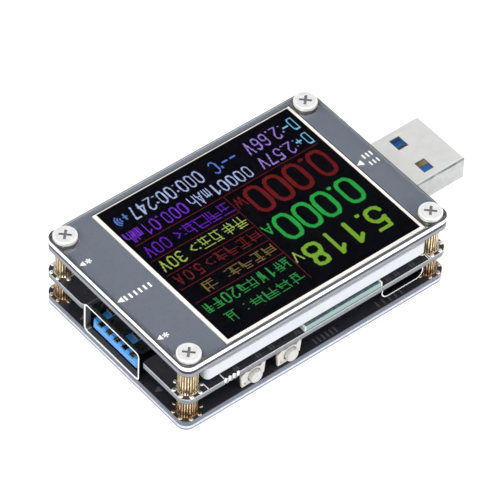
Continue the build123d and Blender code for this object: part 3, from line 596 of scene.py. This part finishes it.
# Latch of the flex connector: translucent; its front faces are painted paler than its other faces as painted
# light and shade, with painted glints
g = Graph("latch_teal")
painted_glint = g.span(g.noise(2.2, 5.0, 0.7, g.stretched((1.0, 3.0, 3.0))), 0.45, 0.68)
painted_light_and_shade_tone = g.mix(g.span(g.facing(1), -0.4, -0.7), srgb(40, 52, 56), srgb(112, 138, 136))
finishes["flex_latch"] = g.done(
    g.surface(
        Base_Color=g.mix(g.math("MULTIPLY", painted_glint, 0.6), painted_light_and_shade_tone, srgb(150, 190, 188)),
        Roughness=g.span(painted_glint, 0.0, 1.0, 0.3, 0.12),
        Coat_Weight=0.4,
        Normal=g.bump(painted_glint, 0.02, 0.5),
    )
)

for node, material in finishes.items():
    data = NODES[node].data
    data.materials.clear()
    data.materials.append(material)

# ---------------------------------------------------------------- clear covers
acrylic = clear_acrylic("acrylic_clear")
# Both cut edges get a painted glow (emission) and dark painted shade lines near their top and bottom.
top_edge = cut_acrylic(
    "acrylic_cut_top", BEZEL_TOP, COVER_TOP,
    bright=srgb(235, 238, 242), dim=srgb(220, 226, 234), line=srgb(72, 72, 74),
    painted_glow=0.75, lower_line=0.14,
)
base_edge = cut_acrylic(
    "acrylic_cut_base", 0.0, BASE_TOP,
    bright=srgb(196, 202, 214), dim=srgb(168, 176, 188), line=srgb(116, 120, 128),
    painted_glow=0.12, lower_line=0.4,
)
SHEET_GAP = 0.02
EDGE = 0.06
RIM_LINE = 0.28
SCREW_BORE = 1.1
SINK_RADIUS = 1.95
SINK_TOP = 0.85
drilled_sheet(
    "top_cover_clear",
    [
        (EDGE, BEZEL_TOP + SHEET_GAP),
        (0, BEZEL_TOP + SHEET_GAP + EDGE),
        (0, COVER_TOP - EDGE),
        (EDGE, COVER_TOP),
        (RIM_LINE, COVER_TOP),
    ],
    [(SCREW_BORE, BEZEL_TOP + SHEET_GAP), (SCREW_BORE, COVER_TOP)],
    acrylic,
    top_edge,
    ["top_cover"],
)
drilled_sheet(
    "base_cover_clear",
    [(EDGE, 0), (0, EDGE), (0, BASE_TOP - SHEET_GAP - EDGE), (EDGE, BASE_TOP - SHEET_GAP)],
    [(SINK_RADIUS, 0), (SCREW_BORE, SINK_TOP), (SCREW_BORE, BASE_TOP - SHEET_GAP)],
    acrylic,
    base_edge,
    ["base_cover"],
)

# ---------------------------------------------------------------- pads round the screw holes
tin = metal("tinned_pad", TIN, 0.28, (3.0, 3.0, 3.0), (0.66, 0.56, 0.42), 0.1, 0.004)
tan_tin = metal(
    "tan_pad", (0.62, 0.50, 0.38), 0.3, (3.0, 3.0, 3.0), (0.36, 0.2, 0.1), 0.25, 0.004
)
PAD_LOBES = 8
PAD_BORE = 1.15
PAD_RADIUS = 2.12
PAD_LOBE = 0.26
PRINT_LOW = 0.005
PRINT_HIGH = 0.008
BOARD_PRINT_HIGH = 0.012
VIA_CIRCLE = 2.2
bm = bmesh.new()
for hx, hy in HOLES:
    ring(
        bm, hx, hy, PAD_BORE, PAD_RADIUS, BEZEL_TOP - 0.01, BEZEL_TOP + PRINT_HIGH, 96,
        PAD_LOBES, PAD_LOBE,
    )
piece("bezel_pads", bm, [tan_tin])
for board_name, height, pad in (("main", MAIN_BOARD_TOP, tin), ("lower", LOWER_BOARD_TOP, tan_tin)):
    bm = bmesh.new()
    for hx, hy in HOLES:
        ring(bm, hx, hy, 1.68, 1.86, height - 0.01, height + 0.02, 64)
        for k in range(PAD_LOBES):
            turn = 2 * math.pi * (k + 0.5) / PAD_LOBES
            cx = hx + VIA_CIRCLE * math.cos(turn)
            cy = hy + VIA_CIRCLE * math.sin(turn)
            dome(bm, cx, cy, height - 0.01, 0.4, 0.2)
    piece(f"{board_name}_board_vias", bm, [pad], smooth=40)

# ---------------------------------------------------------------- printed marks
ink_white = moulded("ink_white", srgb(244, 240, 232), 0.55, 0.06, 5.0, 0.004)
ink_dim = moulded("ink_dim", srgb(74, 74, 82), 0.6, 0.15, 5.0, 0.004)


def arrow(bm, tip_x, tip_y, length, width, z0, z1):
    """Triangle that points towards the socket."""
    base_x = tip_x + length
    prism(bm, [(tip_x, tip_y), (base_x, tip_y - width / 2), (base_x, tip_y + width / 2)], z0, z1)


def star(bm, cx, cy, radius, z0, z1):
    for k in range(3):
        turn = math.pi * k / 3 + math.pi / 2
        dx, dy = radius * math.cos(turn), radius * math.sin(turn)
        bar(bm, cx - dx, cy - dy, cx + dx, cy + dy, 0.2, z0, z1)


PRINT_Z = (BEZEL_TOP - PRINT_LOW, BEZEL_TOP + PRINT_HIGH)
bm = bmesh.new()
arrow(bm, -26.35, 0.05, 1.2, 1.15, *PRINT_Z)
for k in range(6):
    bar(bm, -24.7 + k * 0.95, -0.55, -24.7 + k * 0.95, 0.5, 0.34, *PRINT_Z)
arrow(bm, 22.5, 0.0, 1.15, 1.25, *PRINT_Z)
for k in range(3):
    bar(bm, 24.6 + k * 0.75, -1.4, 24.6 + k * 0.75, -0.5, 0.26, *PRINT_Z)
    bar(bm, 24.6 + k * 0.75, 0.35, 24.6 + k * 0.75, 1.35, 0.3, *PRINT_Z)
for mark_y in (-9.8, 9.75):
    arrow(bm, -26.2, mark_y, 0.95, 1.1, *PRINT_Z)
    star(bm, -24.5, mark_y, 0.55, *PRINT_Z)
piece("bezel_print", bm, [ink_white])

bm = bmesh.new()
MAIN_PRINT = (MAIN_BOARD_TOP - PRINT_LOW, MAIN_BOARD_TOP + BOARD_PRINT_HIGH)
for x, y_end in ((-22.3, -16.1), (-19.05, -16.6), (22.9, -16.4), (23.25, -16.9)):
    bar(bm, x, -17.92, x, y_end, 0.16, *MAIN_PRINT)
for x in (-16.5, -12.0, -9.3, -4.2, 14.6, 16.4, 19.6):
    for k in range(2):
        bar(bm, x + 0.55 * k, -17.6, x + 0.55 * k, -16.7, 0.24, *MAIN_PRINT, 1)
piece("main_board_print", bm, [ink_white, ink_dim])

bm = bmesh.new()
LOWER_PRINT = (LOWER_BOARD_TOP - PRINT_LOW, LOWER_BOARD_TOP + BOARD_PRINT_HIGH)
for mark_y in (-9.8, 9.4):
    arrow(bm, -26.5, mark_y, 1.3, 1.3, *LOWER_PRINT)
for k in range(11):
    x = 0.2 + k * 0.85 if k < 6 else 13.2 + (k - 6) * 1.2
    bar(bm, x, -17.6, x, -16.3, 0.3, *LOWER_PRINT)
piece("lower_board_print", bm, [ink_dim])

# ---------------------------------------------------------------- tinned half holes at the main board's edge
bm = bmesh.new()
for k in range(4):
    hx = -17.65 + (k - 1.5) * 0.85
    hy = -PLATE_WIDTH / 2
    outer = circle(hx, hy, 0.31, 13, 0.0, math.pi)
    inner = circle(hx, hy, 0.21, 13, math.pi, 0.0)
    prism(bm, outer + inner, MAIN_BOARD_TOP - 0.01, MAIN_BOARD_TOP + 0.03)
    lining = circle(hx, hy, 0.25, 13, 0.0, math.pi) + circle(hx, hy, 0.21, 13, math.pi, 0.0)
    prism(bm, lining, MAIN_BOARD_Z, MAIN_BOARD_TOP - 0.01)
piece("edge_hole_plating", bm, [tin])

# ---------------------------------------------------------------- tinned ends of the chip parts
bm = bmesh.new()
EDGE_ROW_Y = -15.2
CAPACITOR_HEIGHT = 0.8
RESISTOR_HEIGHT = 0.45
capacitors = [(x, EDGE_ROW_Y) for x in (-15.2, -8.6, 15.6)]
capacitors += [(-1.6, 12.6), (16.2, 10.4), (16.2, 7.4), (-3.2, 15.4), (18.4, -6.0)]
resistors = [(x, EDGE_ROW_Y) for x in (-12.0, -4.6, 18.4)]
resistors += [(-20.0, 11.0), (-17.4, 11.0), (-20.0, 13.4), (18.4, -8.2), (18.4, -10.4)]
chip_spots = [(x, y, CAPACITOR_HEIGHT) for x, y in capacitors]
chip_spots += [(x, y, RESISTOR_HEIGHT) for x, y in resistors]
for cx, cy, tall in chip_spots:
    for side in (-1, 1):
        mid = cx + side * 0.66
        cap = rounded(mid, cy, 0.34, 0.89, 0.06, 3)
        prism(bm, cap, MAIN_BOARD_TOP, MAIN_BOARD_TOP + tall + 0.02)
        dome(bm, cx + side * 0.86, cy, MAIN_BOARD_TOP, 0.3, 0.16)
piece("chip_ends", bm, [tin])

# ---------------------------------------------------------------- lit picture on the display
PIXEL = 0.16
PICTURE_LEFT = 21.0
PICTURE_TOP = -14.6
ARC = [(0.5, 0), (0.74, 0.02), (0.9, 0.1), (1, 0.26), (1, 0.74), (0.9, 0.9), (0.74, 0.98), (0.5, 1)]
OVAL = ARC + [(1 - x, 1 - y) for x, y in ARC[1:]]
STROKES = {
    "0": [OVAL],
    "1": [[(0.05, 0.27), (0.62, 0), (0.62, 1)]],
    "2": [[(0, 0.2), (0.12, 0.06), (0.4, 0), (0.68, 0), (0.92, 0.08), (1, 0.26), (0.9, 0.45), (0, 1), (1, 1)]],
    "3": [[(0, 0.1), (0.3, 0), (0.75, 0.02), (0.96, 0.16), (0.9, 0.4), (0.6, 0.48), (0.35, 0.48)],
          [(0.6, 0.48), (0.95, 0.58), (1, 0.82), (0.75, 0.98), (0.3, 1), (0, 0.9)]],
    "4": [[(0.76, 1), (0.76, 0), (0, 0.68), (1, 0.68)]],
    "5": [[(0.98, 0), (0.2, 0), (0.08, 0.46), (0.3, 0.37), (0.66, 0.36), (0.92, 0.48), (1, 0.68), (0.9, 0.9),
           (0.66, 1), (0.32, 1), (0.08, 0.92), (0, 0.78)]],
    "6": [[(0.94, 0.12), (0.7, 0), (0.36, 0), (0.08, 0.16), (0, 0.45), (0.02, 0.8), (0.25, 0.98), (0.7, 0.99),
           (0.95, 0.86), (0.98, 0.62), (0.8, 0.46), (0.3, 0.46), (0.04, 0.6)]],
    "7": [[(0, 0), (1, 0), (0.42, 1)]],
    "8": [[(0.5, 0), (0.82, 0.06), (0.9, 0.22), (0.78, 0.4), (0.5, 0.46), (0.22, 0.4), (0.1, 0.22), (0.18, 0.06),
           (0.5, 0)],
          [(0.5, 0.46), (0.88, 0.54), (1, 0.74), (0.88, 0.94), (0.5, 1), (0.12, 0.94), (0, 0.74), (0.12, 0.54),
           (0.5, 0.46)]],
    "V": [[(0, 0), (0.5, 1), (1, 0)]],
    "A": [[(0, 1), (0.5, 0), (1, 1)], [(0.2, 0.66), (0.8, 0.66)]],
    "W": [[(0, 0), (0.25, 1), (0.5, 0.25), (0.75, 1), (1, 0)]],
    "m": [[(0, 1), (0, 0.3)], [(0, 0.4), (0.5, 0.3), (0.5, 1)], [(0.5, 0.4), (1, 0.3), (1, 1)]],
    "h": [[(0, 0), (0, 1)], [(0, 0.5), (0.6, 0.4), (1, 0.55), (1, 1)]],
    "C": [[(1, 0.15), (0.7, 0), (0.3, 0), (0, 0.2), (0, 0.8), (0.3, 1), (0.7, 1), (1, 0.85)]],
    "+": [[(0, 0.58), (1, 0.58)], [(0.5, 0.35), (0.5, 0.81)]],
    "-": [[(0, 0.55), (1, 0.55)]],
    ">": [[(0.1, 0.3), (0.9, 0.58), (0.1, 0.86)]],
    "<": [[(0.9, 0.3), (0.1, 0.58), (0.9, 0.86)]],
    ".": [[(0.4, 0.97), (0.6, 0.97)]],
    ":": [[(0.4, 0.3), (0.6, 0.3)], [(0.4, 0.9), (0.6, 0.9)]],
    "o": [[(0.2, 0), (0.8, 0), (0.8, 0.18), (0.2, 0.18), (0.2, 0)]],
    "#": [[(0, 0), (0.8, 0), (1, 0.15), (1, 0.85), (0.8, 1), (0, 1), (0, 0)]],
}


class Picture:
    """Lit pixels of one colour, drawn with strokes. Text runs towards -X with its top towards -Y."""

    def __init__(self):
        self.lit = set()

    @staticmethod
    def cells(a, b, half):
        """Pixel numbers that a stroke between a and b may touch."""
        return range(int((min(a, b) - half) / PIXEL) - 1, int((max(a, b) + half) / PIXEL) + 2)

    def stroke(self, points, width):
        half = width / 2
        for (ax, ay), (bx, by) in zip(points, points[1:]):
            dx, dy = bx - ax, by - ay
            size = dx * dx + dy * dy or 1e-9
            for column in self.cells(ax, bx, half):
                for row in self.cells(ay, by, half):
                    px, py = (column + 0.5) * PIXEL, (row + 0.5) * PIXEL
                    t = max(0.0, min(1.0, ((px - ax) * dx + (py - ay) * dy) / size))
                    if math.hypot(px - ax - t * dx, py - ay - t * dy) <= half:
                        self.lit.add((column, row))

    def glyph(self, char, left, right, top, bottom, width):
        """One character between two x values and two y values of the frame."""
        inset = width / 2
        x0, x1 = PICTURE_LEFT - left + inset, PICTURE_LEFT - right - inset
        y0, y1 = top - PICTURE_TOP + inset, bottom - PICTURE_TOP - inset
        for points in STROKES[char]:
            self.stroke([(x0 + (x1 - x0) * x, y0 + (y1 - y0) * y) for x, y in points], width)

    def text(self, chars, left, pitch, glyph_width, top, bottom, width):
        for k, char in enumerate(chars):
            if char != " ":
                start = left - k * pitch
                self.glyph(char, start, start - glyph_width, top, bottom, width)

    def line(self, x0, y0, x1, y1, width):
        ends = [(PICTURE_LEFT - x0, y0 - PICTURE_TOP), (PICTURE_LEFT - x1, y1 - PICTURE_TOP)]
        self.stroke(ends, width)

    def blocks(self, count, left, pitch, size, top, bottom, seed):
        """Word-like blocks made of bars, which stand for menu labels."""
        draw = random.Random(seed)
        for k in range(count):
            start = left - k * pitch
            tall = bottom - top
            for share in draw.sample((0.04, 0.28, 0.5, 0.74, 0.97), 3):
                inset = draw.choice((0.0, 0.12, 0.3)) * size
                y = top + share * tall
                self.line(start - inset, y, start - size + inset * 0.5, y, FINE)
            for share in draw.sample((0.1, 0.34, 0.55, 0.78, 0.95), 2):
                x = start - size * share
                y = top + tall * draw.choice((0.0, 0.05, 0.36))
                self.line(x, y, x - draw.choice((0.0, 0.0, 0.3)), bottom, FINE)

    def build(self, name, color):
        """Raised strips of lit pixels just above the display's glass."""
        bm = bmesh.new()
        rows = {}
        for column, row in self.lit:
            rows.setdefault(row, []).append(column)
        for row, columns in rows.items():
            columns.sort()
            start = previous = columns[0]
            for column in columns[1:] + [None]:
                if column is None or column != previous + 1:
                    x1 = PICTURE_LEFT - start * PIXEL
                    x0 = PICTURE_LEFT - (previous + 1) * PIXEL
                    y0 = PICTURE_TOP + row * PIXEL
                    box(bm, x0, x1, y0, y0 + PIXEL, PANEL_TOP - 0.004, PANEL_TOP + 0.01)
                    start = column
                previous = column
        g = Graph(name + "_light")
        flicker = g.span(g.noise(3.0, 2.0), 0.3, 0.7, 0.85, 1.1)
        tone = g.mix(g.span(g.noise(1.1, 2.0), 0.3, 0.7), shade(color, 0.88), color)
        shader = g.surface(
            Base_Color=(0.0, 0.0, 0.0),
            Roughness=0.3,
            Specular_IOR_Level=0.1,
            Emission_Color=tone,
            Emission_Strength=flicker,
        )
        return piece(name, bm, [g.done(shader)])


SMALL = 0.23
FINE = 0.19
LARGE = 0.7
art = {}
for key in ("volts", "amps", "watts", "sky", "mauve", "ice", "violet", "blue", "indigo",
            "lime", "maroon", "olive", "leaf", "rules"):
    art[key] = Picture()

for char, left, right in (("5", 19.4, 16.0), ("1", 14.1, 11.3), ("1", 10.3, 7.5), ("8", 6.8, 3.3)):
    art["volts"].glyph(char, left, right, -13.55, -8.15, LARGE)
art["volts"].line(15.45, -8.5, 15.15, -8.5, 0.62)
art["lime"].glyph("V", 2.95, 1.3, -10.6, -8.4, SMALL)
for left, right in ((19.85, 16.3), (14.85, 11.3), (10.95, 7.4), (7.0, 3.4)):
    art["amps"].glyph("0", left, right, -6.5, -0.45, LARGE)
art["amps"].line(15.8, -1.1, 15.5, -1.1, 0.62)
art["amps"].glyph("A", 3.1, 1.4, -3.4, -1.0, SMALL)
for left, right in ((20.2, 16.65), (15.2, 11.6), (11.2, 7.6), (7.2, 3.65)):
    art["watts"].glyph("0", left, right, 0.75, 7.1, LARGE)
art["watts"].line(16.15, 6.5, 15.85, 6.5, 0.62)
art["watts"].glyph("W", 3.4, 1.5, 4.0, 6.4, SMALL)

PITCH = 1.63
GLYPH = 1.25
G_ROW = (8.35, 11.0)
H_ROW = (12.15, 15.0)
art["sky"].text("#+", 20.7, 1.55, 1.2, *G_ROW, SMALL)
art["mauve"].text(":2", 18.4, 1.2, GLYPH, *G_ROW, SMALL)
art["mauve"].text(".", 16.1, 1.2, GLYPH, *G_ROW, SMALL)
art["mauve"].text("57V", 14.9, 1.68, GLYPH + 0.1, *G_ROW, SMALL)
art["ice"].text("00001", 8.25, PITCH, GLYPH, *G_ROW, SMALL)
art["ice"].text("mAh", 0.0, 1.42, 1.15, *G_ROW, FINE)
art["violet"].text("000", -4.95, PITCH, GLYPH, *G_ROW, SMALL)
art["violet"].text(".", -9.5, PITCH, GLYPH, *G_ROW, SMALL)
art["violet"].text("01", -10.6, PITCH, GLYPH, *G_ROW, SMALL)
art["violet"].text("mWh", -13.9, 1.02, 0.92, *G_ROW, FINE)
art["sky"].text("#-", 20.9, 1.45, 1.2, *H_ROW, SMALL)
art["mauve"].text(":2", 18.6, 1.2, GLYPH, *H_ROW, SMALL)
art["mauve"].text(".", 16.2, 1.2, GLYPH, *H_ROW, SMALL)
art["mauve"].text("66V", 15.0, 1.66, GLYPH, *H_ROW, SMALL)
art["blue"].text("--", 8.4, PITCH, 1.2, *H_ROW, SMALL)
art["blue"].glyph("o", 5.45, 4.95, 12.6, 15.0, FINE)
art["blue"].glyph("C", 4.6, 3.35, *H_ROW, SMALL)
art["ice"].text("000", 1.25, PITCH, GLYPH, *H_ROW, SMALL)
art["ice"].text(":", -3.2, PITCH, GLYPH, *H_ROW, SMALL)
art["ice"].text("00", -4.45, PITCH, GLYPH, *H_ROW, SMALL)
art["ice"].text(":", -7.3, PITCH, GLYPH, *H_ROW, SMALL)
art["ice"].text("247", -8.45, PITCH, GLYPH, *H_ROW, SMALL)
for radius in (0.5, 0.95, 1.4):
    arc = circle(PICTURE_LEFT + 14.6, 13.55 - PICTURE_TOP, radius, 8, -0.8, 0.8)
    art["blue"].stroke(arc, SMALL)
art["blue"].text("+", -13.6, 1.0, 0.9, *H_ROW, SMALL)

BLOCK = 2.0
art["leaf"].blocks(4, 0.4, 2.65, 2.2, -14.0, -11.9, 11)
art["leaf"].text(":", -10.2, PITCH, GLYPH, -14.1, -11.8, SMALL)
art["leaf"].blocks(1, -12.6, 2.6, 2.2, -14.0, -11.9, 12)
art["leaf"].blocks(2, 0.6, 1.5, 1.2, -10.4, -8.4, 13)
art["leaf"].text("1W", -2.7, 1.7, 1.1, -10.6, -8.2, SMALL)
art["leaf"].blocks(2, -6.2, 1.7, 1.4, -10.4, -8.4, 14)
art["leaf"].text("20", -9.9, PITCH, 1.2, -10.6, -8.2, SMALL)
art["leaf"].blocks(2, -13.1, 1.75, 1.45, -10.4, -8.4, 15)
art["olive"].blocks(4, 0.6, 2.3, BLOCK, -6.8, -4.7, 16)
art["olive"].text(":", -8.2, PITCH, GLYPH, -6.9, -4.6, SMALL)
art["olive"].blocks(1, -11.3, 2.6, 2.2, -6.8, -4.7, 17)
for key, top, bottom, sign, digits, seed in (
    ("maroon", -3.2, -0.9, ">", "5.0A", 16),
    ("lime", 0.45, 2.95, ">", " 30V", 18),
    ("indigo", 4.2, 6.8, "<", " 00V", 19),
):
    art[key].blocks(4, 0.7, 2.3, BLOCK, top + 0.1, bottom - 0.1, seed)
    art[key].text(":", -8.1, PITCH, GLYPH, top, bottom, SMALL)
    art[key].text(sign, -9.2, PITCH, 1.1, top, bottom, SMALL)
    if digits[0] == " ":
        art[key].text(digits[1:], -11.65, 1.68, GLYPH + 0.05, top, bottom, SMALL)
    else:
        art[key].text("5", -11.0, PITCH, GLYPH, top, bottom, SMALL)
        art[key].text(".", -12.1, PITCH, GLYPH, top, bottom, SMALL)
        art[key].text("0A", -13.15, 1.8, GLYPH, top, bottom, SMALL)

art["rules"].line(20.6, 7.7, -16.7, 7.7, 0.2)
for y in (3.6, -0.3, -3.9, -7.5):
    art["rules"].line(1.1, y, -16.7, y, 0.2)
art["rules"].line(1.1, -14.2, 1.1, 7.7, 0.2)

lights = {
    "volts": srgb(128, 178, 52),
    "amps": srgb(42, 172, 72),
    "watts": srgb(112, 24, 26),
    "sky": srgb(120, 200, 240),
    "mauve": srgb(160, 130, 220),
    "ice": srgb(178, 194, 240),
    "violet": srgb(120, 50, 210),
    "blue": srgb(96, 130, 215),
    "indigo": srgb(100, 30, 185),
    "lime": srgb(165, 190, 90),
    "maroon": srgb(110, 26, 30),
    "olive": srgb(125, 105, 58),
    "leaf": srgb(50, 150, 72),
    "rules": srgb(92, 20, 24),
}
for key, picture in art.items():
    picture.build("picture_" + key, lights[key])

# ---------------------------------------------------------------- floor, lights and camera
bm = bmesh.new()
FLOOR_SIDE = 3000.0
FLOOR_Z = -0.02
corners = [(sx * FLOOR_SIDE, sy * FLOOR_SIDE) for sx, sy in ((-1, -1), (1, -1), (1, 1), (-1, 1))]
bm.faces.new([bm.verts.new((x * MM, y * MM, FLOOR_Z * MM)) for x, y in corners])
floor_mesh = bpy.data.meshes.new("floor")
bm.to_mesh(floor_mesh)
bm.free()
g = Graph("floor_white")
cloud = g.noise(0.01, 2.0)
floor_mesh.materials.append(
    g.done(
        g.surface(
            Base_Color=g.mix(cloud, (0.92, 0.92, 0.92), (0.95, 0.95, 0.95)),
            Roughness=0.9,
            Specular_IOR_Level=0.1,
            Emission_Color=(1.0, 1.0, 1.0),
            Emission_Strength=0.25,
        )
    )
)
floor = bpy.data.objects.new("floor", floor_mesh)
bpy.context.scene.collection.objects.link(floor)

AZIMUTH = math.radians(41.119)
ELEVATION = math.radians(47.098)
ROLL = math.radians(2.649)
DISTANCE = 687.2
TARGET = Vector((3.052, 2.884, 4.484))
FOCAL = 307.94
forward = Vector(
    (
        math.sin(AZIMUTH) * math.cos(ELEVATION),
        math.cos(AZIMUTH) * math.cos(ELEVATION),
        -math.sin(ELEVATION),
    )
)

# White surroundings with one round dark card, which the glossy display mirrors at the main view
CARD_EDGE = math.radians(12)
CARD_CORE = math.radians(7)
world = bpy.data.worlds.new("studio")
world.use_nodes = True
tree = world.node_tree
tree.nodes.clear()
direction = tree.nodes.new("ShaderNodeTexCoord").outputs["Generated"]
toward = tree.nodes.new("ShaderNodeVectorMath")
toward.operation = "DOT_PRODUCT"
tree.links.new(direction, toward.inputs[0])
toward.inputs[1].default_value = (forward.x, forward.y, -forward.z)
dark_card = tree.nodes.new("ShaderNodeMapRange")
tree.links.new(toward.outputs["Value"], dark_card.inputs["Value"])
dark_card.inputs["From Min"].default_value = math.cos(CARD_EDGE)
dark_card.inputs["From Max"].default_value = math.cos(CARD_CORE)
dark_card.inputs["To Min"].default_value = 1.0
dark_card.inputs["To Max"].default_value = 0.0
seen = tree.nodes.new("ShaderNodeLightPath").outputs["Is Camera Ray"]
strength = tree.nodes.new("ShaderNodeMath")
strength.operation = "MAXIMUM"
tree.links.new(seen, strength.inputs[0])
tree.links.new(dark_card.outputs[0], strength.inputs[1])
background = tree.nodes.new("ShaderNodeBackground")
background.inputs["Color"].default_value = (1.0, 1.0, 1.0, 1.0)
tree.links.new(strength.outputs[0], background.inputs["Strength"])
out = tree.nodes.new("ShaderNodeOutputWorld")
tree.links.new(background.outputs[0], out.inputs["Surface"])
bpy.context.scene.world = world


def softbox(name, place, size, power):
    """Square area light in millimetres that faces the object."""
    data = bpy.data.lights.new(name, "AREA")
    data.shape = "SQUARE"
    data.size = size * MM
    data.energy = power
    made = bpy.data.objects.new(name, data)
    made.location = Vector(place) * MM
    made.rotation_euler = (-Vector(place)).to_track_quat("-Z", "Y").to_euler()
    bpy.context.scene.collection.objects.link(made)


softbox("key", (-260, -120, 420), 260, 1.2)
softbox("fill", (220, -420, 300), 300, 0.9)

camera_data = bpy.data.cameras.new("camera")
camera_data.lens = FOCAL
camera_data.sensor_width = 36.0
camera_data.clip_start = 0.01
camera_data.clip_end = 20.0
camera = bpy.data.objects.new("camera", camera_data)
side = Vector((math.cos(AZIMUTH), -math.sin(AZIMUTH), 0.0))
lift = side.cross(forward)
right = side * math.cos(ROLL) + lift * math.sin(ROLL)
upward = right.cross(forward)
camera.matrix_world = Matrix.Translation((TARGET - forward * DISTANCE) * MM) @ Matrix(
    (
        (right.x, upward.x, -forward.x, 0.0),
        (right.y, upward.y, -forward.y, 0.0),
        (right.z, upward.z, -forward.z, 0.0),
        (0.0, 0.0, 0.0, 1.0),
    )
)
bpy.context.scene.collection.objects.link(camera)
bpy.context.scene.camera = camera
bpy.context.scene.view_settings.view_transform = "Standard"

bpy.context.view_layer.update()
